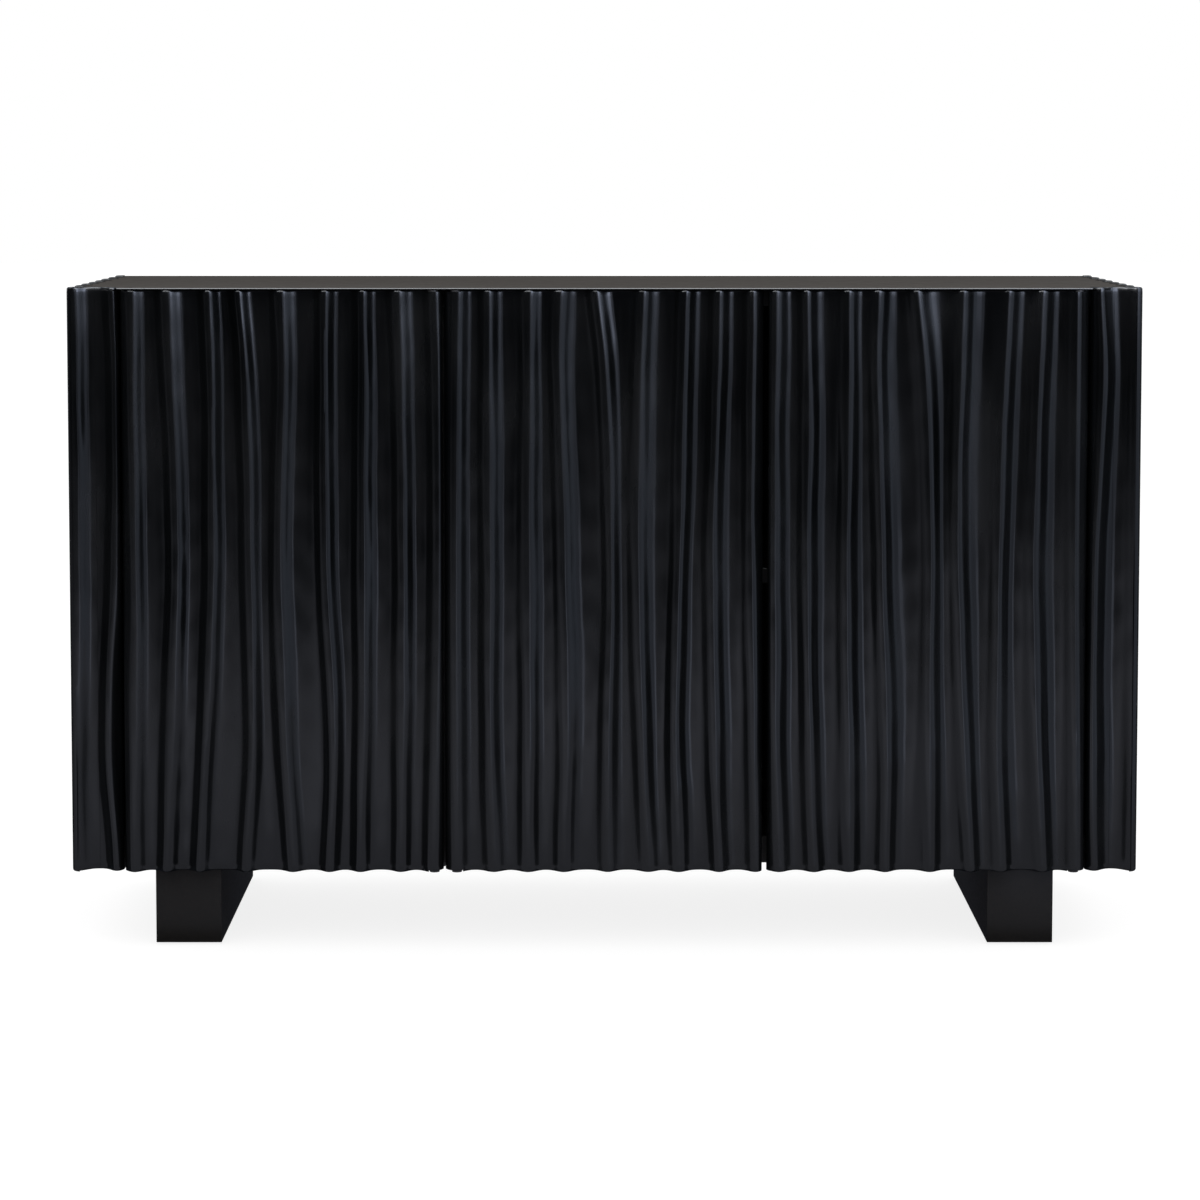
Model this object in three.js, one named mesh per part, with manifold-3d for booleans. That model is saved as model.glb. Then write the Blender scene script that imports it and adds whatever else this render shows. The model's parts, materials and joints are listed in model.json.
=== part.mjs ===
// Sideboard buffet with curtain-like carved flutes: three hinged doors, two fixed
// fluted ends, a thin matte top and two block runners.
// Millimetres, +Z up. X is the width, the doors face -Y, the origin is on the floor
// below the middle of the body.
import * as THREE from 'three';
import { mergeVertices } from 'three/addons/utils/BufferGeometryUtils.js';
import Module from 'manifold-3d';

const wasm = await Module();
wasm.setup();

// ---------------------------------------------------------------- driving sizes
const WIDTH = 1524;
const DEPTH = 480;
const HEIGHT = 948;
const FIT_GAP = 0.3;

const HALF_WIDTH = WIDTH / 2;
const FRONT = -DEPTH / 2;
const BACK = DEPTH / 2;

// Flutes: a ridge is a bell curve standing on a flat floor
const FLUTE_DEPTH = 18;
const RIDGE_SPREAD = 10.8;
const EDGE_ROUND = 5;
const EDGE_DROP_LIMIT = 3;
const CORNER_ROUND = 8;
const CORNER_EASE = 3;

// Heights
const SKIRT_Z = 111;
const FLOOR_BOARD = { bottom: 117, top: 155 };
const SUBTOP = { bottom: 919.6, top: 941.6 };
const DOOR_TOP_Z = 944.7;
const TOP_SLAB = { bottom: 941.9, top: 947 };
const LIP_UNDERSIDE_Z = DOOR_TOP_Z + 0.4;
const RIM = 5;
const LIP_FRONT = FRONT + 0.5;

// How far a cutting shape runs past what it cuts
const BEYOND = 5;

// Front to back
const FIXED_PANEL_SETBACK = 8;
const DOOR_FRONT_THICKNESS = 26;
const DOOR_BACKING_THICKNESS = 12;
const CARCASS_FRONT = FRONT + 41;
const BACK_PANEL = { front: BACK - 11, back: BACK - 2 };

// Side to side
const SHELL_THICKNESS = 38;
const BOARD_THICKNESS = 18;
const END_SEAM_X = 688;
const PAIR_SEAM_X = 229;
const DOOR_GAP = 3;
const PAIR_GAP = 7;
const BACKING_INSET = 6;
const BACKING_RISE = 6;

const SHELL_INNER_X = HALF_WIDTH - SHELL_THICKNESS;
const CARCASS_X = SHELL_INNER_X - FIT_GAP;
const INSIDE_X = CARCASS_X - BOARD_THICKNESS;
const PARTITION_X = -PAIR_SEAM_X;
const FIXED_CREST_Y = FRONT + FIXED_PANEL_SETBACK;

// Runners, glides and bolts
const RUNNER = { inner: 551, outer: 645, front: FRONT + 28, rear: BACK - 23 };
const GLIDE = { height: 3, radius: 22, inset: 50 };
const BOLT = { shank: 4, head: 9, headHeight: 4, depth: 40, spare: 2, inset: 90, clearance: 0.4 };

// Pivot hinges: a plate on the carcass carries a pin that stands in a bushing in the door
const PIVOT_Y = FRONT + 8;
const PLATE = { thickness: 2, nose: 7, tail: 14, tailFront: CARCASS_FRONT + 1, rear: CARCASS_FRONT + 39 };
const BOTTOM_PLATE_Z = SKIRT_Z + FIT_GAP;
const TOP_PLATE_Z = TOP_SLAB.bottom;
const PIN = { radius: 2.5, length: 15, root: 1 };
const BUSHING = { inner: 2.8, outer: 5, length: 16, recess: 0.2, clearance: 0.25 };
const BOTTOM_NOTCH_Z = SKIRT_Z + 2.8;
const TOP_NOTCH_Z = TOP_PLATE_Z - 0.4;
const NOTCH_MARGIN = 1.5;

// Shelves and their pins
const SHELF = { bottom: 520, thickness: 22, front: -180, rear: 224, sideGap: 0.7 };
const SHELF_PIN = { radius: 2.5, bury: 8, reach: 9, front: -140, rear: 185 };

// Push latches under the sub-top
const LATCH = { halfWidth: 9, height: 14, front: CARCASS_FRONT + 1, length: 60 };
const PLUNGER = { radius: 4, length: 25, bore: 4.4, boreDepth: 32, tip: -200.7 };
const STRIKE = { radius: 8, thickness: 0.9, gap: 0.1 };

// ---------------------------------------------------------------- ridge lines
// Heights at which each ridge line is given; the line runs smoothly between them
const STATIONS = [115, 300, 560, 820, 945];

const END_RIDGES = {
  left: [
    [-755, -755, -752, -752, -753],
    [-699, -709, -697, -694, -698],
  ],
  right: [
    [702, 697, 699, 707, 703],
    [756, 756, 755, 755, 756],
  ],
};

const SIDE_RIDGES = {
  left: [
    [-222, -222, -222, -222, -222],
    [-158, -151, -163, -166, -160],
    [-104, -99, -93, -104, -99],
    [-31, -38, -44, -33, -37],
    [22, 30, 27, 19, 26],
    [90, 82, 93, 97, 91],
    [161, 155, 150, 158, 157],
    [230, 232, 228, 226, 231],
  ],
  right: [
    [-222, -222, -222, -222, -222],
    [-166, -161, -152, -158, -162],
    [-92, -101, -107, -97, -98],
    [-41, -35, -29, -38, -40],
    [31, 24, 20, 28, 25],
    [85, 94, 89, 84, 88],
    [152, 157, 163, 156, 154],
    [231, 228, 226, 229, 232],
  ],
};

const DOORS = [
  {
    name: 'door_1',
    left: -END_SEAM_X + DOOR_GAP / 2,
    right: -PAIR_SEAM_X - DOOR_GAP / 2,
    pivotX: -243,
    hingeSide: 1,
    latchX: -655,
    ridges: [
      [-672, -671, -669, -670, -671],
      [-626, -619, -609, -616, -620],
      [-579, -569, -558, -558, -562],
      [-513, -503, -505, -510, -518],
      [-445, -457, -463, -457, -459],
      [-393, -387, -397, -398, -396],
      [-349, -346, -344, -343, -343],
      [-291, -290, -287, -290, -293],
      [-245, -241, -236, -237, -241],
    ],
  },
  {
    name: 'door_2',
    left: -PAIR_SEAM_X + DOOR_GAP / 2,
    right: PAIR_SEAM_X - PAIR_GAP / 2,
    pivotX: -211,
    hingeSide: -1,
    latchX: 190,
    ridges: [
      [-212, -213, -213, -211, -209],
      [-159, -164, -165, -165, -166],
      [-109, -109, -109, -108, -108],
      [-58, -55, -58, -66, -64],
      [5, 4, 9, 0, -13],
      [62, 54, 46, 50, 53],
      [106, 101, 105, 111, 114],
      [164, 157, 153, 159, 162],
      [216, 213, 208, 209, 209],
    ],
  },
  {
    name: 'door_3',
    left: PAIR_SEAM_X + PAIR_GAP / 2,
    right: END_SEAM_X - DOOR_GAP / 2,
    pivotX: 671,
    hingeSide: 1,
    latchX: 268,
    ridges: [
      [250, 244, 241, 242, 242],
      [300, 292, 288, 288, 286],
      [350, 347, 344, 345, 345],
      [402, 402, 394, 386, 387],
      [465, 463, 463, 454, 442],
      [523, 513, 502, 504, 507],
      [567, 560, 560, 566, 571],
      [627, 616, 610, 615, 620],
      [674, 672, 668, 668, 668],
    ],
  },
];

// ---------------------------------------------------------------- materials
function finish(color, roughness, metalness = 0) {
  return () => new THREE.MeshStandardMaterial({ color, roughness, metalness });
}

const blackLacquer = finish(0x15151a, 0.25);
const matteTop = finish(0x4e4b47, 0.6);
const blackStain = finish(0x17130f, 0.5);
const interiorBlack = finish(0x1b1917, 0.55);
const blackSteel = finish(0x1c1c1e, 0.4, 0.8);
const brightSteel = finish(0xa8a8a6, 0.3, 1);
const blackPlastic = finish(0x141414, 0.5);
const felt = finish(0x2c2a28, 0.95);

// ---------------------------------------------------------------- solids
const sideboard = new THREE.Group();
sideboard.name = 'sideboard_buffet';

function add(name, geometry, finishOf) {
  geometry.computeVertexNormals();
  const mesh = new THREE.Mesh(geometry, finishOf());
  mesh.name = name;
  sideboard.add(mesh);
  return mesh;
}

function box(x, y, z) {
  const geometry = new THREE.BoxGeometry(x[1] - x[0], y[1] - y[0], z[1] - z[0]);
  return geometry.translate((x[0] + x[1]) / 2, (y[0] + y[1]) / 2, (z[0] + z[1]) / 2);
}

function cylinder(radius, z, x, y, sides = 20) {
  const geometry = new THREE.CylinderGeometry(radius, radius, z[1] - z[0], sides);
  return geometry.rotateX(Math.PI / 2).translate(x, y, (z[0] + z[1]) / 2);
}

function cylinderAlongX(radius, x, y, z, sides = 16) {
  const geometry = new THREE.CylinderGeometry(radius, radius, x[1] - x[0], sides);
  return geometry.rotateZ(Math.PI / 2).translate((x[0] + x[1]) / 2, y, z);
}

function cylinderAlongY(radius, y, x, z, sides = 20) {
  const geometry = new THREE.CylinderGeometry(radius, radius, y[1] - y[0], sides);
  return geometry.translate(x, (y[0] + y[1]) / 2, z);
}

// A lathe profile of [radius, height] pairs, turned round the vertical line through x, y
function turned(profile, x, y, sides = 20) {
  const points = profile.map(([radius, height]) => new THREE.Vector2(radius, height));
  return new THREE.LatheGeometry(points, sides).rotateX(Math.PI / 2).translate(x, y, 0);
}

function solid(geometry) {
  const bare = geometry.clone();
  bare.deleteAttribute('normal');
  bare.deleteAttribute('uv');
  const merged = mergeVertices(bare);
  return new wasm.Manifold(new wasm.Mesh({
    numProp: 3,
    vertProperties: new Float32Array(merged.attributes.position.array),
    triVerts: new Uint32Array(merged.index.array),
  }));
}

function geometryOf(manifold) {
  const mesh = manifold.getMesh();
  const geometry = new THREE.BufferGeometry();
  geometry.setAttribute('position', new THREE.BufferAttribute(mesh.vertProperties, 3));
  geometry.setIndex(new THREE.BufferAttribute(mesh.triVerts, 1));
  return geometry;
}

function cut(geometry, tools) {
  return geometryOf(tools.reduce((left, tool) => left.subtract(solid(tool)), solid(geometry)));
}

function join(geometry, pieces) {
  return geometryOf(pieces.reduce((left, piece) => left.add(solid(piece)), solid(geometry)));
}

// Walls between outlines at each level, closed by a cap at each end.
// outlineAt(z) gives the same number of points each time, anticlockwise from above.
function loft(outlineAt, levels) {
  const outlines = levels.map(outlineAt);
  const count = outlines[0].length;
  const positions = outlines.flatMap((outline, k) => outline.flatMap((p) => [p.x, p.y, levels[k]]));
  const index = [];
  for (let k = 0; k < levels.length - 1; k += 1) {
    for (let i = 0; i < count; i += 1) {
      const next = (i + 1) % count;
      const low = k * count;
      const high = low + count;
      index.push(low + i, low + next, high + next);
      index.push(low + i, high + next, high + i);
    }
  }
  const top = (levels.length - 1) * count;
  for (const [a, b, c] of THREE.ShapeUtils.triangulateShape(outlines[0], [])) {
    index.push(a, c, b);
  }
  for (const [a, b, c] of THREE.ShapeUtils.triangulateShape(outlines.at(-1), [])) {
    index.push(top + a, top + b, top + c);
  }
  const geometry = new THREE.BufferGeometry();
  geometry.setAttribute('position', new THREE.Float32BufferAttribute(positions, 3));
  geometry.setIndex(index);
  return geometry;
}

// ---------------------------------------------------------------- flutes
// Where a ridge line is at height z
function ridgeAt(line, z) {
  const last = STATIONS.length - 1;
  const height = Math.min(Math.max(z, STATIONS[0]), STATIONS[last]);
  const k = Math.min(STATIONS.findLastIndex((station) => station <= height), last - 1);
  const span = STATIONS[k + 1] - STATIONS[k];
  const t = (height - STATIONS[k]) / span;
  const slope = (i) => {
    const before = Math.max(i - 1, 0);
    const after = Math.min(i + 1, last);
    return (line[after] - line[before]) / (STATIONS[after] - STATIONS[before]);
  };
  const ease = t * t * (3 - 2 * t);
  const leave = t * (1 - t) * (1 - t) * span * slope(k);
  const arrive = t * t * (t - 1) * span * slope(k + 1);
  return line[k] + (line[k + 1] - line[k]) * ease + leave + arrive;
}

// How far the surface lies below the ridge tops
function hollowAt(place, ridges) {
  const bells = ridges.map((ridge) => Math.exp(-((place - ridge) ** 2) / (2 * RIDGE_SPREAD ** 2)));
  const height = Math.min(bells.reduce((sum, bell) => sum + bell, 0), 1);
  return FLUTE_DEPTH * (1 - height);
}

// How far a rounded edge falls away at a distance from it
function edgeFall(distance, radius = EDGE_ROUND) {
  const inside = Math.max(radius - distance, 0);
  return radius - Math.sqrt(radius ** 2 - inside ** 2);
}

// Places along a fluted face: even steps between the stops
function columns(stops, steps) {
  const places = [stops[0]];
  for (let i = 1; i < stops.length; i += 1) {
    for (let j = 1; j <= steps; j += 1) {
      places.push(THREE.MathUtils.lerp(stops[i - 1], stops[i], j / steps));
    }
  }
  return places;
}

const ROUND_STEPS = [0, EDGE_ROUND * 0.12, EDGE_ROUND * 0.45];
const RIDGE_STEPS = 4;
const WALL_LEVELS = [210, 320, 440, 560, 690, 820];

function doorOutline(door, z) {
  const ridges = door.ridges.map((line) => ridgeAt(line, z));
  const places = [
    ...ROUND_STEPS.map((step) => door.left + step),
    ...columns([door.left + EDGE_ROUND, ...ridges, door.right - EDGE_ROUND], RIDGE_STEPS),
    ...ROUND_STEPS.map((step) => door.right - step).reverse(),
  ];
  const front = places.map((x) => {
    const round = edgeFall(x - door.left) + edgeFall(door.right - x);
    const fall = Math.min(hollowAt(x, ridges) + round, FLUTE_DEPTH + EDGE_DROP_LIMIT);
    return new THREE.Vector2(x, FRONT + fall);
  });
  const back = FRONT + DOOR_FRONT_THICKNESS;
  return [...front, new THREE.Vector2(door.right, back), new THREE.Vector2(door.left, back)];
}

// ---------------------------------------------------------------- fluted ends
// Each end is described on the right-hand side, with x growing outwards; `hand` mirrors it.
function endRidges(hand, z) {
  const key = hand < 0 ? 'left' : 'right';
  const front = END_RIDGES[key].map((line) => Math.abs(ridgeAt(line, z)));
  const side = SIDE_RIDGES[key].map((line) => ridgeAt(line, z));
  return { front: front.sort((a, b) => a - b), side };
}

// Points of the front face from one x outwards, up to another x or to just short of the corner
function endFront(hand, z, from, inset, to = null) {
  const { front } = endRidges(hand, z);
  const [ridge, corner] = front;
  const outer = to ?? corner - CORNER_EASE;
  const stops = from < END_SEAM_X + DOOR_GAP ? [from, ridge, outer] : [from, outer];
  return columns(stops, RIDGE_STEPS).map((x) => {
    const seam = edgeFall(x - END_SEAM_X - DOOR_GAP / 2);
    return new THREE.Vector2(x, FIXED_CREST_Y + hollowAt(x, front) + seam + inset);
  });
}

// Points round the corner and along the side to the back
function endSide(hand, z, inset) {
  const { side } = endRidges(hand, z);
  const corner = new THREE.Vector2(HALF_WIDTH - CORNER_ROUND, FIXED_CREST_Y + CORNER_ROUND);
  const turn = [0, 0.25, 0.5, 0.75, 1].map((share) => {
    const angle = (share - 1) * (Math.PI / 2);
    const reach = CORNER_ROUND - inset;
    return new THREE.Vector2(corner.x + reach * Math.cos(angle), corner.y + reach * Math.sin(angle));
  });
  const along = columns([...side, BACK - EDGE_ROUND, BACK], RIDGE_STEPS).slice(1).map((y) => {
    const outer = HALF_WIDTH - hollowAt(y, side) - edgeFall(BACK - y);
    return new THREE.Vector2(outer - inset, y);
  });
  return [...turn, ...along];
}

function mirrored(points, hand) {
  const placed = points.map((p) => new THREE.Vector2(p.x * hand, p.y));
  return hand < 0 ? placed.reverse() : placed;
}

function sideOutline(hand, z) {
  const inner = HALF_WIDTH - SHELL_THICKNESS + FIT_GAP;
  const front = endFront(hand, z, inner, 0);
  return mirrored([...front, ...endSide(hand, z, 0), new THREE.Vector2(inner, BACK)], hand);
}

function stileOutline(hand, z) {
  const back = CARCASS_FRONT - FIT_GAP;
  const from = END_SEAM_X + DOOR_GAP / 2;
  const front = endFront(hand, z, from, 0, SHELL_INNER_X);
  const rear = [new THREE.Vector2(SHELL_INNER_X, back), new THREE.Vector2(from, back)];
  return mirrored([...front, ...rear], hand);
}

// The top slab lies inside a thin rim of the fluted ends and runs straight over the doors
function slabOutline(inset) {
  const z = TOP_SLAB.top;
  const shelfEdge = END_SEAM_X + DOOR_GAP / 2 - FIT_GAP;
  const ends = [1, -1].map((hand) => {
    const front = endFront(hand, z, shelfEdge + FIT_GAP, inset);
    const lipCorner = new THREE.Vector2(shelfEdge, LIP_FRONT);
    return mirrored([lipCorner, ...front, ...endSide(hand, z, inset)], hand);
  });
  return [...ends[0], ...ends[1]];
}

function slabSolid(inset, z) {
  return loft(() => slabOutline(inset), z);
}

// ---------------------------------------------------------------- carcass
add('bottom_board', cut(
  box([-CARCASS_X, CARCASS_X], [CARCASS_FRONT, BACK], [FLOOR_BOARD.bottom, FLOOR_BOARD.top]),
  runnerBolts().map(({ x, y }) => (
    cylinder(BOLT.shank + BOLT.clearance, [FLOOR_BOARD.bottom - BEYOND, FLOOR_BOARD.top + BEYOND], x, y)
  )),
), interiorBlack);
add('subtop_board', box(
  [-CARCASS_X, CARCASS_X], [CARCASS_FRONT, BACK], [SUBTOP.bottom, SUBTOP.top],
), interiorBlack);

const insideZ = [FLOOR_BOARD.top + FIT_GAP, SUBTOP.bottom - FIT_GAP];
const shelfPinZ = SHELF.bottom - SHELF_PIN.radius - FIT_GAP;

function pinHoles(faceX, direction) {
  const ends = [faceX - direction * (SHELF_PIN.bury + FIT_GAP), faceX + direction * BEYOND];
  return [SHELF_PIN.front, SHELF_PIN.rear].map((y) => (
    cylinderAlongX(SHELF_PIN.radius + FIT_GAP, ends.sort((a, b) => a - b), y, shelfPinZ)
  ));
}

for (const [name, hand] of [['left', -1], ['right', 1]]) {
  const across = [hand * INSIDE_X, hand * CARCASS_X].sort((a, b) => a - b);
  const board = box(across, [CARCASS_FRONT, BACK], insideZ);
  add(`${name}_side_board`, cut(board, pinHoles(hand * INSIDE_X, -hand)), interiorBlack);
}

const partitionX = [PARTITION_X - BOARD_THICKNESS / 2, PARTITION_X + BOARD_THICKNESS / 2];
add('partition', cut(
  box(partitionX, [CARCASS_FRONT, BACK_PANEL.front - FIT_GAP], insideZ),
  [...pinHoles(partitionX[0], -1), ...pinHoles(partitionX[1], 1)],
), interiorBlack);
add('back_panel', box(
  [-INSIDE_X + FIT_GAP, INSIDE_X - FIT_GAP], [BACK_PANEL.front, BACK_PANEL.back], insideZ,
), interiorBlack);

// ---------------------------------------------------------------- fluted ends and top
const wallLevels = [SKIRT_Z, ...WALL_LEVELS, HEIGHT];
const rimCutter = slabSolid(RIM, [SUBTOP.top, HEIGHT + BEYOND]);

for (const [name, hand] of [['left', -1], ['right', 1]]) {
  add(`${name}_fluted_side`, cut(loft((z) => sideOutline(hand, z), wallLevels), [rimCutter]), blackLacquer);
  const stile = cut(loft((z) => stileOutline(hand, z), wallLevels), [rimCutter]);
  add(`${name}_fluted_stile`, stile, blackLacquer);
}

const overDoors = box(
  [-END_SEAM_X, END_SEAM_X], [FRONT - BEYOND, CARCASS_FRONT - FIT_GAP],
  [TOP_SLAB.bottom - BEYOND, LIP_UNDERSIDE_Z],
);
const platePockets = DOORS.map((door) => box(
  [door.pivotX - PLATE.tail - FIT_GAP, door.pivotX + PLATE.tail + FIT_GAP],
  [CARCASS_FRONT - BEYOND, PLATE.rear + FIT_GAP],
  [TOP_SLAB.bottom - BEYOND, TOP_PLATE_Z + PLATE.thickness + FIT_GAP],
));
add('top_panel', cut(
  slabSolid(RIM + FIT_GAP, [TOP_SLAB.bottom, TOP_SLAB.top]), [overDoors, ...platePockets],
), matteTop);

// ---------------------------------------------------------------- runners
function runnerBolts() {
  const x = (RUNNER.inner + RUNNER.outer) / 2;
  const ys = [RUNNER.front + BOLT.inset, RUNNER.rear - BOLT.inset];
  return [-1, 1].flatMap((hand) => ys.map((y) => ({ x: hand * x, y })));
}

const runnerZ = [GLIDE.height + FIT_GAP, FLOOR_BOARD.bottom - FIT_GAP];
const boltHeadZ = FLOOR_BOARD.top + FIT_GAP;

for (const [name, hand] of [['left', -1], ['right', 1]]) {
  const across = [hand * RUNNER.inner, hand * RUNNER.outer].sort((a, b) => a - b);
  const middle = (across[0] + across[1]) / 2;
  const bolts = runnerBolts().filter(({ x }) => x * hand > 0);
  const holes = bolts.map(({ x, y }) => cylinder(
    BOLT.shank + BOLT.clearance, [runnerZ[1] - BOLT.depth - BOLT.spare, runnerZ[1] + BEYOND], x, y,
  ));
  add(`${name}_runner`, cut(box(across, [RUNNER.front, RUNNER.rear], runnerZ), holes), blackStain);
  [['front', RUNNER.front + GLIDE.inset], ['rear', RUNNER.rear - GLIDE.inset]].forEach(([end, y], k) => {
    add(`${name}_${end}_glide`, cylinder(GLIDE.radius, [0, GLIDE.height], middle, y, 32), felt);
    add(`${name}_${end}_runner_bolt`, turned([
      [0, runnerZ[1] - BOLT.depth],
      [BOLT.shank, runnerZ[1] - BOLT.depth],
      [BOLT.shank, boltHeadZ],
      [BOLT.head, boltHeadZ],
      [BOLT.head, boltHeadZ + BOLT.headHeight],
      [0, boltHeadZ + BOLT.headHeight],
    ], bolts[k].x, bolts[k].y), brightSteel);
  });
}

// ---------------------------------------------------------------- shelves
const BAYS = [
  { name: 'left', left: -INSIDE_X, right: partitionX[0] },
  { name: 'right', left: partitionX[1], right: INSIDE_X },
];

for (const bay of BAYS) {
  add(`${bay.name}_shelf`, box(
    [bay.left + SHELF.sideGap, bay.right - SHELF.sideGap],
    [SHELF.front, SHELF.rear],
    [SHELF.bottom, SHELF.bottom + SHELF.thickness],
  ), interiorBlack);
  const corners = [[bay.left, 1], [bay.right, -1]].flatMap(([x, inward]) => (
    [SHELF_PIN.front, SHELF_PIN.rear].map((y) => ({ x, inward, y }))
  ));
  corners.forEach(({ x, inward, y }, k) => {
    const ends = [x - inward * SHELF_PIN.bury, x + inward * SHELF_PIN.reach].sort((a, b) => a - b);
    const peg = cylinderAlongX(SHELF_PIN.radius, ends, y, shelfPinZ, 14);
    add(`${bay.name}_shelf_pin_${k + 1}`, peg, brightSteel);
  });
}

// ---------------------------------------------------------------- pivot hinges
// Plan of a plate: a round nose about the pin, a narrow tongue and a wide tail
function plateShape(pivotX) {
  const shape = new THREE.Shape();
  shape.moveTo(pivotX - PLATE.tail, PLATE.rear);
  shape.lineTo(pivotX - PLATE.tail, PLATE.tailFront);
  shape.lineTo(pivotX - PLATE.nose, PLATE.tailFront);
  shape.lineTo(pivotX - PLATE.nose, PIVOT_Y);
  shape.absarc(pivotX, PIVOT_Y, PLATE.nose, Math.PI, 2 * Math.PI, false);
  shape.lineTo(pivotX + PLATE.nose, PLATE.tailFront);
  shape.lineTo(pivotX + PLATE.tail, PLATE.tailFront);
  shape.lineTo(pivotX + PLATE.tail, PLATE.rear);
  shape.closePath();
  return shape;
}

function plate(pivotX, z) {
  const options = { depth: PLATE.thickness, bevelEnabled: false, curveSegments: 10 };
  return new THREE.ExtrudeGeometry(plateShape(pivotX), options).translate(0, 0, z);
}

function bushing(x, z) {
  return turned([
    [BUSHING.inner, z[0]],
    [BUSHING.outer, z[0]],
    [BUSHING.outer, z[1]],
    [BUSHING.inner, z[1]],
    [BUSHING.inner, z[0]],
  ], x, PIVOT_Y);
}

const topBushingZ = [TOP_NOTCH_Z - BUSHING.length, TOP_NOTCH_Z - BUSHING.recess];
const bottomBushingZ = [BOTTOM_NOTCH_Z + BUSHING.recess, BOTTOM_NOTCH_Z + BUSHING.length];
const bottomPlateTopZ = BOTTOM_PLATE_Z + PLATE.thickness;

for (const { name, pivotX } of DOORS) {
  const topPin = cylinder(PIN.radius, [TOP_PLATE_Z - PIN.length, TOP_PLATE_Z + PIN.root], pivotX, PIVOT_Y);
  add(`${name}_top_pivot_plate`, join(plate(pivotX, TOP_PLATE_Z), [topPin]), blackSteel);
  const foot = box(
    [pivotX - PLATE.tail, pivotX + PLATE.tail], [PLATE.tailFront, PLATE.rear],
    [bottomPlateTopZ - PIN.root, FLOOR_BOARD.bottom - FIT_GAP],
  );
  const bottomPinZ = [bottomPlateTopZ - PIN.root, bottomPlateTopZ + PIN.length];
  const bottomPin = cylinder(PIN.radius, bottomPinZ, pivotX, PIVOT_Y);
  add(`${name}_bottom_pivot_plate`, join(plate(pivotX, BOTTOM_PLATE_Z), [foot, bottomPin]), blackSteel);
}

// ---------------------------------------------------------------- push latches
const latchZ = [SUBTOP.bottom - FIT_GAP - LATCH.height, SUBTOP.bottom - FIT_GAP];
const plungerZ = (latchZ[0] + latchZ[1]) / 2;

for (const { name, latchX } of DOORS) {
  const body = box(
    [latchX - LATCH.halfWidth, latchX + LATCH.halfWidth], [LATCH.front, LATCH.front + LATCH.length], latchZ,
  );
  const bore = cylinderAlongY(
    PLUNGER.bore, [LATCH.front - BEYOND, LATCH.front + PLUNGER.boreDepth], latchX, plungerZ,
  );
  add(`${name}_latch_body`, cut(body, [bore]), blackPlastic);
  const plungerY = [PLUNGER.tip, PLUNGER.tip + PLUNGER.length];
  add(`${name}_latch_plunger`, cylinderAlongY(PLUNGER.radius, plungerY, latchX, plungerZ), blackPlastic);
}

// ---------------------------------------------------------------- doors
const doorLevels = [SKIRT_Z, ...WALL_LEVELS, DOOR_TOP_Z];
const backingFront = FRONT + DOOR_FRONT_THICKNESS + FIT_GAP;
const backingBack = backingFront + DOOR_BACKING_THICKNESS - FIT_GAP;

for (const door of DOORS) {
  const edge = door.hingeSide > 0 ? door.right : door.left;
  const notchX = [
    door.pivotX - door.hingeSide * (PLATE.nose + NOTCH_MARGIN),
    edge + door.hingeSide * BEYOND,
  ].sort((a, b) => a - b);
  const notchZ = [[SKIRT_Z - BEYOND, BOTTOM_NOTCH_Z], [TOP_NOTCH_Z, DOOR_TOP_Z + BEYOND]];
  const boreZ = [
    [BOTTOM_NOTCH_Z - BEYOND, bottomBushingZ[1] + BUSHING.clearance],
    [topBushingZ[0] - BUSHING.clearance, TOP_NOTCH_Z + BEYOND],
  ];
  const notches = notchZ.map((z) => box(notchX, [FRONT - BEYOND, backingBack], z));
  const bores = boreZ.map((z) => cylinder(BUSHING.outer + BUSHING.clearance, z, door.pivotX, PIVOT_Y));
  const carved = loft((z) => doorOutline(door, z), doorLevels);
  add(`${door.name}_fluted_front`, cut(carved, [...notches, ...bores]), blackLacquer);
  add(`${door.name}_backing`, box(
    [door.left + BACKING_INSET, door.right - BACKING_INSET],
    [backingFront, backingBack],
    [SKIRT_Z + BACKING_RISE, DOOR_TOP_Z - BACKING_RISE],
  ), interiorBlack);
  add(`${door.name}_top_bushing`, bushing(door.pivotX, topBushingZ), brightSteel);
  add(`${door.name}_bottom_bushing`, bushing(door.pivotX, bottomBushingZ), brightSteel);
  const strikeFront = backingBack + STRIKE.gap;
  add(`${door.name}_latch_strike`, cylinderAlongY(
    STRIKE.radius, [strikeFront, strikeFront + STRIKE.thickness], door.latchX, plungerZ, 24,
  ), brightSteel);
}

export default sideboard;
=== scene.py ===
"""Looks of the fluted sideboard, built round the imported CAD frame. Metres, +Z up, doors face -Y."""
import json
import math

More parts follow.
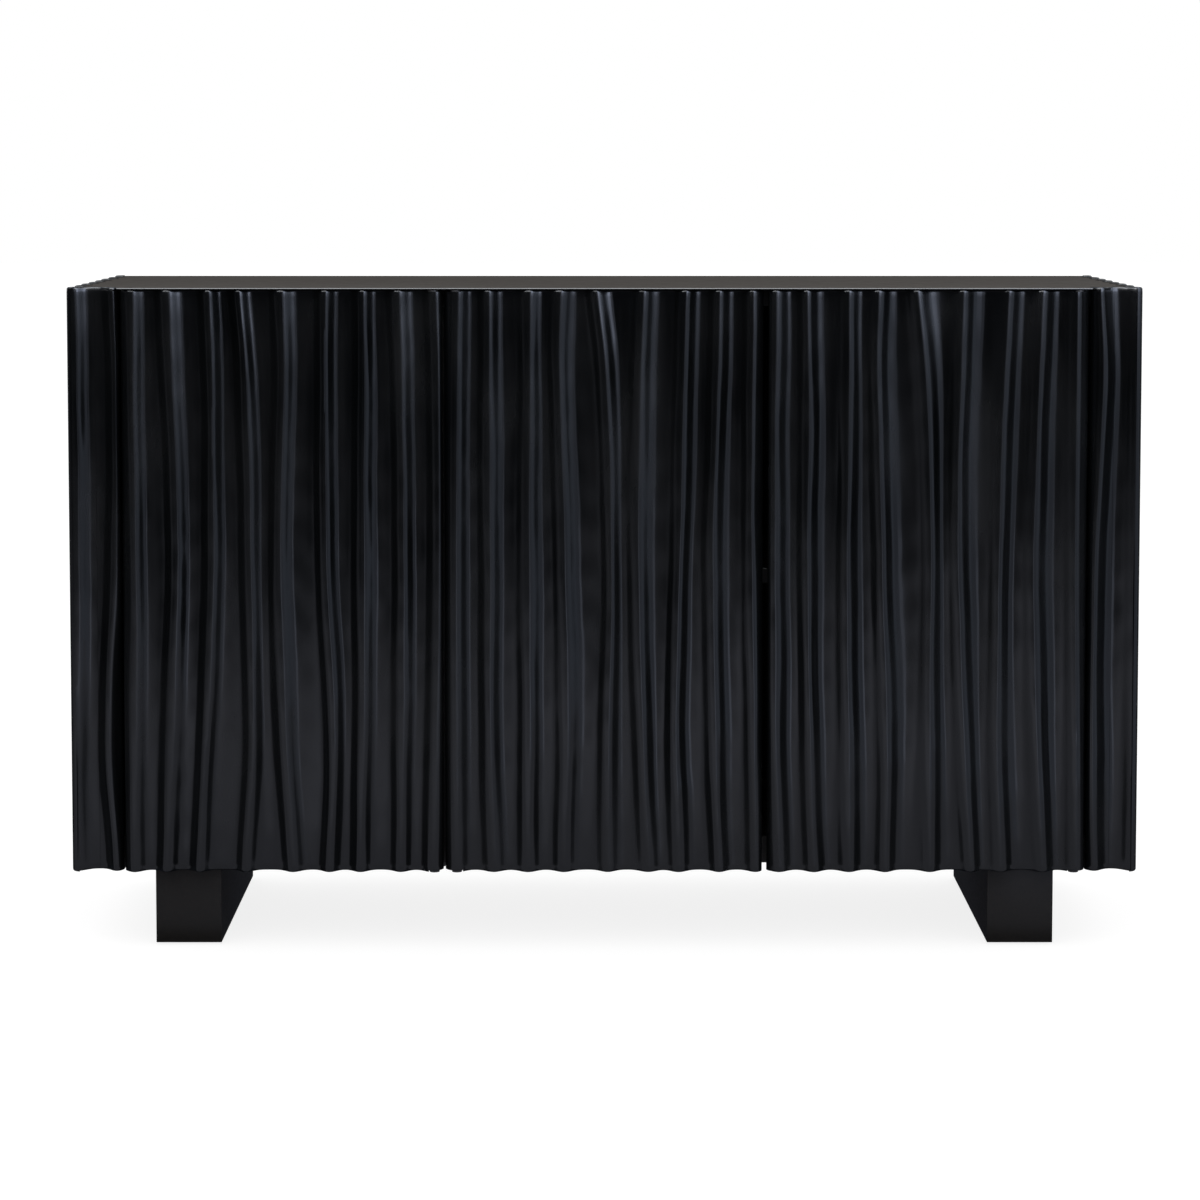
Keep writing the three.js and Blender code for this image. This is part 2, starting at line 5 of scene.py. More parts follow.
import bpy
import numpy as np
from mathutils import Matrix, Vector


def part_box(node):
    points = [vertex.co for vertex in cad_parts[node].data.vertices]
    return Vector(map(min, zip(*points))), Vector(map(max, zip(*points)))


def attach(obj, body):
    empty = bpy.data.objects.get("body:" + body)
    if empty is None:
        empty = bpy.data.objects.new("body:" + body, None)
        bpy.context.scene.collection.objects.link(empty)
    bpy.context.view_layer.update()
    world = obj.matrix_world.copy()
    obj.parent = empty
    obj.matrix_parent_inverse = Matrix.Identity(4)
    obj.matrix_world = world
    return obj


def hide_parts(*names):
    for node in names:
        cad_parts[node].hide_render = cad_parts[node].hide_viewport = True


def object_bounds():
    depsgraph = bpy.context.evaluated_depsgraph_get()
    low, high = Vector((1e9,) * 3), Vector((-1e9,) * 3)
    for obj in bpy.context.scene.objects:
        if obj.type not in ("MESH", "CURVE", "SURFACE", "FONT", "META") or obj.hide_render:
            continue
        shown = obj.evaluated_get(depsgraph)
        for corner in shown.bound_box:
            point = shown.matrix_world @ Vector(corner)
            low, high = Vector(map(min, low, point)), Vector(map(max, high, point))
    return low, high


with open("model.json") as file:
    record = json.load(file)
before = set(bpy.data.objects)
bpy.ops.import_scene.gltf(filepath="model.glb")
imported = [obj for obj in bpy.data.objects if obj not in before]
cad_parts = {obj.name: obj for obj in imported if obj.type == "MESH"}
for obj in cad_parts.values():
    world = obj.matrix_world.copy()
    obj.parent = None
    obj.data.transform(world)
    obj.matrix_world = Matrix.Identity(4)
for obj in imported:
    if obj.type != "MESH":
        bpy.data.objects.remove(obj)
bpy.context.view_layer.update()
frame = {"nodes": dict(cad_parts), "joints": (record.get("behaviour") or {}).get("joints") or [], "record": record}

MM = 0.001
scene = bpy.context.scene
rng = np.random.default_rng(7)

# ---------------------------------------------------------------- camera
CAMERA_PLACE = (-0.018, -4.768, 1.128)
CAMERA_TILT = math.radians(4.0)
CAMERA_LENS = 96.3
CAMERA_SHIFT = (0.0068, -0.18)

camera_data = bpy.data.cameras.new("camera")
camera_data.lens = CAMERA_LENS
camera_data.shift_x, camera_data.shift_y = CAMERA_SHIFT
camera = bpy.data.objects.new("camera", camera_data)
camera.location = CAMERA_PLACE
camera.rotation_euler = (math.pi / 2 - CAMERA_TILT, 0, 0)
scene.collection.objects.link(camera)
scene.camera = camera
scene.view_settings.view_transform = "Standard"

# ---------------------------------------------------------------- sizes, from the frame
low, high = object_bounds()
HALF_WIDTH = high.x / MM
FRONT = low.y / MM
BACK = high.y / MM
HEIGHT = high.z / MM
DOORS = ("door_1", "door_2", "door_3")
ENDS = (("left", -1), ("right", 1))

# Flutes
FLUTE_DEPTH = 18
RIDGE_SPREAD = 10.8
CARVING_DEPTH = 0.08
RIDGE_STEPS = 18
LEVEL_STEP = 7.0
# Rounded edges; the shares say how closely the outline and the levels follow a round
EDGE_ROUND = 5
ROUND_SHARES = np.array([0, 0.03, 0.1, 0.22, 0.4, 0.65])
ARRIS = 3.4
ARRIS_SHARES = np.array([0, 0.04, 0.15, 0.33, 0.6])
CORNER_ROUND = 8
CORNER_EASE = 3
# Top slab: the rim of the ends round it, and its lip over the doors with a rounded nose
RIM = 5
LIP_THICKNESS = 1.9
NOSE = 1.7
NOSE_RADIUS = 2.2
NOSE_SHARES = np.array([0, 0.25, 0.5, 0.75, 1])
# Hinge seats in the doors
NOTCH_REACH = 8.5
HINGE_REACH = 20
BUSHING_RECESS = 0.2
BUSHING_CLEARANCE = 0.25
# Between parts, and how far a cutter reaches past what it cuts
FIT_GAP = 0.3
BEYOND = 5
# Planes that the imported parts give
FIXED_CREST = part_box("left_fluted_side")[0].y / MM
DOOR_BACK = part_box("door_1_fluted_front")[1].y / MM
STILE_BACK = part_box("left_fluted_stile")[1].y / MM
END_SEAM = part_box("right_fluted_stile")[0].x / MM
SHELL_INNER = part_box("right_fluted_side")[0].x / MM
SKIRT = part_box("left_fluted_side")[0].z / MM
DOOR_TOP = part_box("door_1_fluted_front")[1].z / MM
SLAB = [corner.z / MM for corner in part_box("top_panel")]

# ---------------------------------------------------------------- ridge lines, mm
STATIONS = np.array([115.0, 300.0, 560.0, 820.0, 945.0])

END_RIDGES = {
    "left": [[755, 755, 752, 752, 753], [699, 709, 697, 694, 698]],
    "right": [[756, 756, 755, 755, 756], [702, 697, 699, 707, 703]],
}
SIDE_RIDGES = {
    "left": [
        [-222, -222, -222, -222, -222],
        [-158, -151, -163, -166, -160],
        [-104, -99, -93, -104, -99],
        [-31, -38, -44, -33, -37],
        [22, 30, 27, 19, 26],
        [90, 82, 93, 97, 91],
        [161, 155, 150, 158, 157],
        [230, 232, 228, 226, 231],
    ],
    "right": [
        [-222, -222, -222, -222, -222],
        [-166, -161, -152, -158, -162],
        [-92, -101, -107, -97, -98],
        [-41, -35, -29, -38, -40],
        [31, 24, 20, 28, 25],
        [85, 94, 89, 84, 88],
        [152, 157, 163, 156, 154],
        [231, 228, 226, 229, 232],
    ],
}
DOOR_RIDGES = {
    "door_1": [
        [-672, -671, -669, -670, -671],
        [-626, -619, -609, -616, -620],
        [-579, -569, -558, -558, -562],
        [-513, -503, -505, -510, -518],
        [-445, -457, -463, -457, -459],
        [-393, -387, -397, -398, -396],
        [-349, -346, -344, -343, -343],
        [-291, -290, -287, -290, -293],
        [-245, -241, -236, -237, -241],
    ],
    "door_2": [
        [-212, -213, -213, -211, -209],
        [-159, -164, -165, -165, -166],
        [-109, -109, -109, -108, -108],
        [-58, -55, -58, -66, -64],
        [5, 4, 9, 0, -13],
        [62, 54, 46, 50, 53],
        [106, 101, 105, 111, 114],
        [164, 157, 153, 159, 162],
        [216, 213, 208, 209, 209],
    ],
    "door_3": [
        [250, 244, 241, 242, 242],
        [300, 292, 288, 288, 286],
        [350, 347, 344, 345, 345],
        [402, 402, 394, 386, 387],
        [465, 463, 463, 454, 442],
        [523, 513, 502, 504, 507],
        [567, 560, 560, 566, 571],
        [627, 616, 610, 615, 620],
        [674, 672, 668, 668, 668],
    ],
}


def ridge_at(line, z):
    """Where a ridge line is at height z: a smooth curve through its stations."""
    line = np.array(line, float)
    slopes = np.gradient(line, STATIONS, edge_order=1)
    slopes[1:-1] = (line[2:] - line[:-2]) / (STATIONS[2:] - STATIONS[:-2])
    z = np.clip(z, STATIONS[0], STATIONS[-1])
    k = np.clip(np.searchsorted(STATIONS, z, side="right") - 1, 0, len(STATIONS) - 2)
    span = STATIONS[k + 1] - STATIONS[k]
    t = (z - STATIONS[k]) / span
    ease = t * t * (3 - 2 * t)
    leave = t * (1 - t) ** 2 * span * slopes[k]
    arrive = t * t * (t - 1) * span * slopes[k + 1]
    return line[k] + (line[k + 1] - line[k]) * ease + leave + arrive


def waver(z, lengths, sizes):
    """A smooth hand-made wander along z: a few waves of given lengths and sizes, with random phases."""
    total = np.zeros_like(z)
    for length, size in zip(lengths, sizes):
        stretch = length * rng.uniform(0.85, 1.2)
        total += size * np.sin(2 * math.pi * z / stretch + rng.uniform(0, 2 * math.pi))
    return total


class Ridge:
    """One ridge over a column of heights: its place, how sharp it is and how far it is worn down."""

    def __init__(self, line, levels, true=False):
        self.place = ridge_at(line, levels)
        self.spread = np.full_like(levels, RIDGE_SPREAD)
        self.worn = np.zeros_like(levels)
        if not true:
            self.place += waver(levels, (190, 430), (0.25, 0.5))
            self.spread *= rng.uniform(0.82, 1.02) + waver(levels, (260, 600), (0.03, 0.06))
            self.worn += rng.uniform(0.9, 2.0) + waver(levels, (240, 500), (0.15, 0.25))


def carving(places, levels):
    """Shallow unevenness left by the carver, in mm: ripples that follow one another down the flutes."""
    total = np.zeros_like(places)
    for _ in range(18):
        across = rng.uniform(-1, 1) / 40
        along = rng.uniform(0.6, 1.3) / 75
        waves = places * across + levels[:, None] * along
        total += np.sin(2 * math.pi * waves + rng.uniform(0, 2 * math.pi))
    return CARVING_DEPTH * total / 3


def hollow(places, ridges):
    """How far the surface lies below the ridge tops; places is levels by columns."""
    height = np.zeros_like(places)
    for ridge in ridges:
        offset = places - ridge.place[:, None]
        bell = np.exp(-(offset**2) / (2 * ridge.spread[:, None] ** 2))
        height += bell * (1 - ridge.worn[:, None] / FLUTE_DEPTH)
    return FLUTE_DEPTH * (1 - np.minimum(height, 1))


def edge_fall(distance, radius):
    """How far a rounded edge falls away at a distance inside it."""
    inside = np.clip(radius - distance, 0, radius)
    return radius - np.sqrt(radius**2 - inside**2)


def columns(stops, steps):
    """Levels by columns: even steps between stops, each stop an array over the levels."""
    shares = np.arange(1, steps + 1) / steps
    rows = [stops[0][:, None]]
    for a, b in zip(stops[:-1], stops[1:]):
        rows.append(a[:, None] + (b - a)[:, None] * shares)
    return np.hstack(rows)


def levels_between(bottom, top):
    """Heights of a fluted wall, closer together where its ends are rounded."""
    middle = np.arange(bottom + ARRIS, top - ARRIS, LEVEL_STEP)
    turn = ARRIS * ARRIS_SHARES
    return np.concatenate([bottom + turn, middle, (top - turn)[::-1]])


def arris(levels, bottom, top):
    """How far the face falls back at the rounded bottom and top arris."""
    return edge_fall(levels - bottom, ARRIS) + edge_fall(top - levels, ARRIS)


# ---------------------------------------------------------------- meshes
def new_object(name, mesh):
    obj = bpy.data.objects.new(name, mesh)
    scene.collection.objects.link(obj)
    return obj


def smooth(mesh, angle=40):
    mesh.shade_smooth()
    mesh.set_sharp_from_angle(angle=math.radians(angle))


def loft(name, outlines, levels):
    """A closed solid from one outline (points by 2, anticlockwise from above) per level."""
    count = outlines.shape[1]
    rows = len(levels)
    heights = np.repeat(np.asarray(levels, float)[:, None], count, axis=1)
    points = np.dstack([outlines, heights]).reshape(-1, 3) * MM
    low_row = np.arange(rows - 1)[:, None] * count
    i = np.arange(count)[None, :]
    following = (i + 1) % count
    high_row = low_row + count
    quads = np.stack([low_row + i, low_row + following, high_row + following, high_row + i], axis=-1)
    faces = quads.reshape(-1, 4).tolist()
    faces.append(list(range(count))[::-1])
    faces.append(list(range((rows - 1) * count, rows * count)))
    mesh = bpy.data.meshes.new(name)
    mesh.from_pydata(points.tolist(), [], faces)
    mesh.update()
    return new_object(name, mesh)


def apply_modifiers(obj):
    graph = bpy.context.evaluated_depsgraph_get()
    mesh = bpy.data.meshes.new_from_object(obj.evaluated_get(graph))
    obj.modifiers.clear()
    obj.data = mesh


def cut_away(obj, cutters):
    for cutter in cutters:
        modifier = obj.modifiers.new("cut", "BOOLEAN")
        modifier.operation = "DIFFERENCE"
        modifier.solver = "MANIFOLD"
        modifier.object = cutter
    apply_modifiers(obj)


def block(name, lower, upper):
    """A plain box between two corners in mm, used only to cut with."""
    (x0, y0, z0), (x1, y1, z1) = lower, upper
    outline = np.array([[x0, y0], [x1, y0], [x1, y1], [x0, y1]], float)
    return loft(name, np.array([outline, outline]), [z0, z1])


def drum(name, centre, radius, bottom, top, sides=48):
    angles = np.linspace(0, 2 * math.pi, sides, endpoint=False)
    ring = np.stack([centre[0] + radius * np.cos(angles), centre[1] + radius * np.sin(angles)], axis=-1)
    return loft(name, np.array([ring, ring]), [bottom, top])


def discard(*objects):
    for obj in objects:
        bpy.data.objects.remove(obj)


def stacked(*parts):
    """Joins parts of an outline, each levels by points by 2."""
    return np.concatenate(parts, axis=1)


def pair(x, y):
    return np.dstack(np.broadcast_arrays(x, y))


def level_column(value, levels):
    return np.full((len(levels), 1), float(value))


# ---------------------------------------------------------------- door fronts
def pivot_of(door):
    """Where a door's hinge line is, seen from above, in mm."""
    joint = next(j for j in frame["joints"] if j["child"] == door)
    return joint["pos_m"][0] / MM, joint["pos_m"][1] / MM


def door_front(door):
    node = f"{door}_fluted_front"
    left, right = (corner.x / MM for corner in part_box(node))
    levels = levels_between(SKIRT, DOOR_TOP)
    pivot_x = pivot_of(door)[0]
    ridges = [Ridge(line, levels, abs(line[0] - pivot_x) < HINGE_REACH) for line in DOOR_RIDGES[door]]
    ones = np.ones_like(levels)
    start = left + EDGE_ROUND * ROUND_SHARES * ones[:, None]
    end = (right - EDGE_ROUND * ROUND_SHARES * ones[:, None])[:, ::-1]
    stops = [(left + EDGE_ROUND) * ones, *[ridge.place for ridge in ridges], (right - EDGE_ROUND) * ones]
    x = np.hstack([start, columns(stops, RIDGE_STEPS), end])
    fall = edge_fall(x - left, EDGE_ROUND) + edge_fall(right - x, EDGE_ROUND)
    fall += arris(levels, SKIRT, DOOR_TOP)[:, None]
    y = FRONT + np.clip(hollow(x, ridges) + carving(x, levels) + fall, 0, FLUTE_DEPTH + 4)
    rear = pair(np.hstack([level_column(right, levels), level_column(left, levels)]), DOOR_BACK)
    obj = loft(f"{door}_carved_front", stacked(pair(x, y), rear), levels)
    cut_hinge_seats(obj, door, left, right)
    return obj


def cut_hinge_seats(obj, door, left, right):
    """At each end, the notch that the pivot plate turns in and the bore that holds the bushing."""
    pivot = pivot_of(door)
    hinge_side = 1 if right - pivot[0] < pivot[0] - left else -1
    reach = sorted((pivot[0] - hinge_side * NOTCH_REACH, pivot[0] + hinge_side * BEYOND * 5))
    cutters = []
    for end, outward in (("bottom", -1), ("top", 1)):
        lower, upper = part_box(f"{door}_{end}_bushing")
        ends = sorted((lower.z / MM, upper.z / MM), key=lambda z: z * outward)
        seat = ends[1] + outward * BUSHING_RECESS
        radius = (upper.x - lower.x) / MM / 2 + BUSHING_CLEARANCE
        z = sorted((seat, seat + outward * BEYOND))
        lower_corner = (reach[0], FRONT - BEYOND, z[0])
        upper_corner = (reach[1], DOOR_BACK + BEYOND, z[1])
        cutters.append(block("notch", lower_corner, upper_corner))
        z = sorted((ends[0] - outward * BUSHING_CLEARANCE, seat + outward * BEYOND))
        cutters.append(drum("bore", pivot, radius, *z))
    cut_away(obj, cutters)
    discard(*cutters)


# ---------------------------------------------------------------- fluted ends
# Each end is described on the right-hand side, with x growing outwards; hand mirrors it.
class End:
    """The ridges of one end of the cabinet over a column of heights."""

    def __init__(self, name, hand, levels, true=False):
        self.hand = hand
        self.levels = levels
        self.ones = np.ones_like(levels)
        self.corner, self.ridge = (Ridge(line, levels, true) for line in END_RIDGES[name])
        self.side = [Ridge(line, levels, true) for line in SIDE_RIDGES[name]]

    def front(self, start, inset=0.0, stop=None):
        """The front face outwards from start, to stop or to just short of the corner ridge."""
        outer = stop * self.ones if stop else self.corner.place - CORNER_EASE
        inner = start * self.ones
        through = [inner, self.ridge.place, outer] if start < END_SEAM + 2 else [inner, outer]
        x = columns(through, RIDGE_STEPS)
        fall = hollow(x, [self.corner, self.ridge]) + edge_fall(x - END_SEAM, EDGE_ROUND)
        return pair(x, FIXED_CREST + np.maximum(fall + self.carved(x), 0) + inset)

    def carved(self, places):
        return carving(places, self.levels) if len(self.levels) > 1 else 0

    def corner_and_side(self, inset=0.0):
        """Round the corner and along the side to the back."""
        angles = np.linspace(-math.pi / 2, 0, 9)
        reach = CORNER_ROUND - inset
        turn_x = (HALF_WIDTH - CORNER_ROUND + reach * np.cos(angles)) * self.ones[:, None]
        turn_y = (FIXED_CREST + CORNER_ROUND + reach * np.sin(angles)) * self.ones[:, None]
        places = [ridge.place for ridge in self.side]
        y = columns([*places, (BACK - EDGE_ROUND) * self.ones, BACK * self.ones], RIDGE_STEPS)[:, 1:]
        starts_after_turn = y > FIXED_CREST + CORNER_ROUND
        y = np.where(starts_after_turn, y, FIXED_CREST + CORNER_ROUND + 0.01)
        fall = hollow(y, self.side) + edge_fall(BACK - y, EDGE_ROUND)
        x = HALF_WIDTH - np.maximum(fall + self.carved(y), 0) - inset
        return stacked(pair(turn_x, turn_y), pair(x, y))

    def mirrored(self, outline):
        placed = outline * np.array([self.hand, 1.0])
        return placed[:, ::-1] if self.hand < 0 else placed


def slab_outline(inset, fall=0.0):
    """The top slab's outline: inside the rims at the ends, straight over the doors and set back by fall."""
    levels = np.array([SLAB[1]])
    ends = []
    for name, hand in ENDS:
        end = End(name, hand, levels, true=True)
        lip = pair(level_column(END_SEAM - FIT_GAP, levels), FRONT + 0.5 + fall)
        line = stacked(lip, end.front(END_SEAM, inset), end.corner_and_side(inset))
        ends.append(end.mirrored(line))
    return stacked(ends[1], ends[0])[0]


def fluted_side(name, hand, cutter):
    levels = levels_between(SKIRT, HEIGHT)
    end = End(name, hand, levels)
    back_corner = pair(level_column(SHELL_INNER, levels), BACK)
    front = end.front(SHELL_INNER)
    side = end.corner_and_side()
    fall = arris(levels, SKIRT, HEIGHT)[:, None]
    front[:, :, 1] += fall
    side[:, :, 0] -= fall
    outline = stacked(front, side, back_corner)
    obj = loft(f"{name}_carved_side", end.mirrored(outline), levels)
    cut_away(obj, [cutter])
    return obj, end


def fluted_stile(name, end, cutter):
    levels = end.levels
    stop = SHELL_INNER - FIT_GAP
    front = end.front(END_SEAM, stop=stop)
    front[:, :, 1] += arris(levels, SKIRT, HEIGHT)[:, None]
    rear = pair(np.hstack([level_column(stop, levels), level_column(END_SEAM, levels)]), STILE_BACK)
    obj = loft(f"{name}_carved_stile", end.mirrored(stacked(front, rear)), levels)
    cut_away(obj, [cutter])
    return obj


def top_slab():
    """The slab with its nose, cut away over the doors and over their top pivot plates."""
    falls = [0, *edge_fall(NOSE_RADIUS - NOSE * NOSE_SHARES, NOSE_RADIUS)]
    levels = [SLAB[0], *(SLAB[1] - NOSE * (1 - NOSE_SHARES))]
    obj = loft("top_slab", np.array([slab_outline(RIM + FIT_GAP, fall) for fall in falls]), levels)
    below = SLAB[0] - BEYOND
    lip_underside = SLAB[1] - LIP_THICKNESS
    cutters = [block("under_lip", (-END_SEAM, FRONT - BEYOND, below), (END_SEAM, STILE_BACK, lip_underside))]
    for door in DOORS:
        lower, upper = (np.array(corner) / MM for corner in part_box(f"{door}_top_pivot_plate"))
        front_corner = (lower[0] - FIT_GAP, STILE_BACK - 1, below)
        cutters.append(block("pocket", front_corner, tuple(upper + FIT_GAP)))
    cut_away(obj, cutters)
    discard(*cutters)
    return obj


# ---------------------------------------------------------------- eased copies of CAD nodes
def eased(node, width, segments=3, angle=50):
    """A copy of a CAD node with its arrises rounded, in the node's place."""
    mesh = frame["nodes"][node].data.copy()
    obj = new_object(f"{node}_eased", mesh)
    obj.data.materials.clear()
    weld = obj.modifiers.new("weld", "WELD")
    weld.merge_threshold = 0.01 * MM
    tidy = obj.modifiers.new("flat", "DECIMATE")
    tidy.decimate_type = "DISSOLVE"
    tidy.angle_limit = math.radians(1)
    bevel = obj.modifiers.new("arris", "BEVEL")
    bevel.width = width * MM
    bevel.segments = segments
    bevel.limit_method = "ANGLE"
    bevel.angle_limit = math.radians(angle)
    apply_modifiers(obj)
    smooth(obj.data, 30)
    return obj


# ---------------------------------------------------------------- materials
class Nodes:
    """A material's node tree, with short calls for what the materials here share."""

    def __init__(self, name):
        self.material = bpy.data.materials.new(name)
        self.material.use_nodes = True
        self.tree = self.material.node_tree
        self.shader = self.tree.nodes["Principled BSDF"]
        self.place = self.add("ShaderNodeTexCoord").outputs["Object"]

    def add(self, kind, **settings):
        node = self.tree.nodes.new(kind)
        for key, value in settings.items():
            setattr(node, key, value)
        return node

    def link(self, a, b):
        self.tree.links.new(a, b)

    def set(self, **values):
        for key, value in values.items():
            self.shader.inputs[key.replace("_", " ")].default_value = value

    def stretched(self, scale):
        mapping = self.add("ShaderNodeMapping")
        mapping.inputs["Scale"].default_value = scale
        self.link(self.place, mapping.inputs["Vector"])
        return mapping.outputs["Vector"]

    def noise(self, scale, detail=3.0, rough=0.5, where=(1, 1, 1)):
        node = self.add("ShaderNodeTexNoise")
        node.inputs["Scale"].default_value = scale
        node.inputs["Detail"].default_value = detail
        node.inputs["Roughness"].default_value = rough
        self.link(self.stretched(where), node.inputs["Vector"])
        return node.outputs["Fac"]

    def ramp(self, value, stops):
        node = self.add("ShaderNodeValToRGB")
        elements = node.color_ramp.elements
        while len(elements) < len(stops):
            elements.new(0.5)
        for element, (place, color) in zip(elements, stops):
            element.position = place
            element.color = (*color, 1)
        self.link(value, node.inputs["Fac"])
        return node.outputs["Color"]

    def span(self, value, low, high, source=(0.3, 0.7)):
        node = self.add("ShaderNodeMapRange")
        node.inputs["From Min"].default_value, node.inputs["From Max"].default_value = source
        node.inputs["To Min"].default_value, node.inputs["To Max"].default_value = low, high
        self.link(value, node.inputs["Value"])
        return node.outputs["Result"]

    def mix(self, factor, a, b):
        node = self.add("ShaderNodeMix", data_type="RGBA")
        for socket, value in ((node.inputs[0], factor), (node.inputs[6], a), (node.inputs[7], b)):
            if isinstance(value, bpy.types.NodeSocket):
                self.link(value, socket)
            elif isinstance(value, (int, float)):
                socket.default_value = value
            else:
                socket.default_value = (*value, 1)
        return node.outputs[2]

    def rubbed(self, value, flat):
        """The value, or another one on faces that look straight up, where things are set down."""
        split = self.add("ShaderNodeSeparateXYZ")
        self.link(self.add("ShaderNodeNewGeometry").outputs["Normal"], split.inputs[0])
        node = self.add("ShaderNodeMix", data_type="FLOAT")
        self.link(self.span(split.outputs["Z"], 0, 1, (0.9, 0.98)), node.inputs[0])
        self.link(value, node.inputs[2])
        node.inputs[3].default_value = flat
        return node.outputs[0]

    def bump(self, layers):
        """Layers of (height, distance in mm), stacked on one another."""
        normal = None
        for height, distance in layers:
            node = self.add("ShaderNodeBump")
            node.inputs["Strength"].default_value = 1.0
            node.inputs["Distance"].default_value = distance * MM
            self.link(height, node.inputs["Height"])
            if normal:
                self.link(normal, node.inputs["Normal"])
            normal = node.outputs["Normal"]
        self.link(normal, self.shader.inputs["Normal"])
        return normal

    def color(self, output):
        self.link(output, self.shader.inputs["Base Color"])

    def roughness(self, output):
        self.link(output, self.shader.inputs["Roughness"])


def black_lacquer():
    n = Nodes("black_lacquer")
    patches = n.noise(6, 2)
    n.color(n.ramp(patches, [(0.3, (0.0008, 0.0011, 0.0014)), (0.7, (0.0017, 0.0019, 0.0022))]))
    polish = n.span(n.noise(14, 4, where=(1, 1, 0.3)), 0.12, 0.32)
    n.roughness(n.rubbed(polish, 0.6))
    n.set(IOR=1.45, Coat_Weight=0.3, Coat_Roughness=0.08, Coat_IOR=1.45)
    n.bump([
        (n.noise(26, 2, where=(1, 1, 0.6)), 0.28),
        (n.noise(60, 2, where=(1, 1, 0.6)), 0.1),
        (n.noise(110, 3, where=(1, 1, 0.05)), 0.035),
        (n.noise(900, 2), 0.005),
    ])
    return n.material


def matte_top():
    n = Nodes("matte_top")
    grain = n.noise(7, 8, 0.65, where=(1, 24, 24))
    cloud = n.noise(3, 3)
    base = n.ramp(grain, [(0.3, (0.039, 0.032, 0.025)), (0.7, (0.058, 0.049, 0.039))])
    n.color(n.mix(n.span(cloud, 0.0, 0.35), base, (0.064, 0.058, 0.050)))
    n.roughness(n.span(n.noise(40, 4), 0.5, 0.62))
    n.set(IOR=1.4, Specular_IOR_Level=0.15)
    n.bump([(grain, 0.12), (n.noise(700, 3), 0.03)])
    return n.material


def wood_finish(name, dark, light, rough, along, scale=9, relief=0.1):
    """Stained wood: long grain along one axis under a thin satin finish."""
    n = Nodes(name)
    squeeze = [22.0, 22.0, 22.0]
    squeeze["xyz".index(along)] = 1.0
    grain = n.noise(scale, 8, 0.6, where=tuple(squeeze))
    pores = n.noise(scale * 7, 3, 0.6, where=tuple(squeeze))
    n.color(n.ramp(grain, [(0.32, dark), (0.68, light)]))
    n.roughness(n.span(pores, rough - 0.05, rough + 0.09))
    n.set(IOR=1.45, Specular_IOR_Level=0.4)
    n.bump([(grain, relief), (pores, relief * 0.5)])
    return n.material


def metal(name, color, rough, streak=(1, 1, 12)):
    n = Nodes(name)
    n.color(n.ramp(n.noise(90, 3), [(0.3, tuple(c * 0.85 for c in color)), (0.7, color)]))
    n.roughness(n.span(n.noise(300, 3, where=streak), rough - 0.06, rough + 0.1))
    n.set(Metallic=1.0)
    n.bump([(n.noise(500, 3, where=streak), 0.01)])
    return n.material


def powder_coat():
    n = Nodes("black_steel")
    n.color(n.ramp(n.noise(60, 3), [(0.3, (0.010, 0.010, 0.011)), (0.7, (0.018, 0.018, 0.019))]))
    n.roughness(n.span(n.noise(400, 2), 0.38, 0.5))
    n.bump([(n.noise(1500, 2), 0.03)])
    return n.material


def moulded_plastic():
    n = Nodes("black_plastic")
    n.color(n.ramp(n.noise(50, 3), [(0.3, (0.010, 0.010, 0.010)), (0.7, (0.016, 0.016, 0.016))]))
    n.roughness(n.span(n.noise(300, 2), 0.42, 0.55))
    n.bump([(n.noise(1800, 2), 0.02)])
    return n.material


def felt():
    n = Nodes("felt")
    fibre = n.noise(900, 6, 0.7)
    n.color(n.ramp(fibre, [(0.3, (0.018, 0.017, 0.016)), (0.7, (0.05, 0.047, 0.044))]))
    n.set(Roughness=0.95, Sheen_Weight=0.3)
    n.bump([(fibre, 0.25)])
    return n.material


STAIN = ((0.0030, 0.0023, 0.0018), (0.0062, 0.0046, 0.0034), 0.36)
INSIDE_PAINT = ((0.006, 0.0054, 0.005), (0.013, 0.0115, 0.0105), 0.42)
FINISHES = {
    "black_lacquer": black_lacquer(),
    "matte_top": matte_top(),
    "black_stain": wood_finish("black_stain", *STAIN, "y"),
    "interior_black": wood_finish("interior_black", *INSIDE_PAINT, "x"),
    "black_steel": powder_coat(),
    "bright_steel": metal("bright_steel", (0.56, 0.56, 0.54), 0.3),
    "black_plastic": moulded_plastic(),
    "felt": felt(),
}
UPRIGHT = wood_finish("interior_black_upright", *INSIDE_PAINT, "z")
SLOT_OF = {row["node"]: row["material_slot"] for row in frame["record"]["subparts"]}
BODY_OF = {node: body for body, nodes in frame["record"]["behaviour"]["bodies"].items() for node in nodes}


def dress(obj, material):
    obj.data.materials.clear()
    obj.data.materials.append(material)


def put(obj, node, material=None):
    """obj takes the place of a CAD node, rides its body and has its finish."""
    dress(obj, material or FINISHES[SLOT_OF[node]])
    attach(obj, BODY_OF[node])
    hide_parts(node)


# ---------------------------------------------------------------- the object
for door in DOORS:
    carved = door_front(door)
    smooth(carved.data)
    put(carved, f"{door}_fluted_front")

rim_line = slab_outline(RIM)
rim_cutter = loft("rim_cutter", np.array([rim_line, rim_line]), [SLAB[0] - FIT_GAP, HEIGHT + 5])
for name, hand in ENDS:
    side, end = fluted_side(name, hand, rim_cutter)
    stile = fluted_stile(name, end, rim_cutter)
    for obj, node in ((side, f"{name}_fluted_side"), (stile, f"{name}_fluted_stile")):
        smooth(obj.data)
        put(obj, node)
discard(rim_cutter)

slab = top_slab()
smooth(slab.data, 30)
put(slab, "top_panel")
# Only its face is matt; its edges are lacquered.
slab.data.materials.append(FINISHES["black_lacquer"])
for face in slab.data.polygons:
    face.material_index = int(face.normal.z < 0.95)

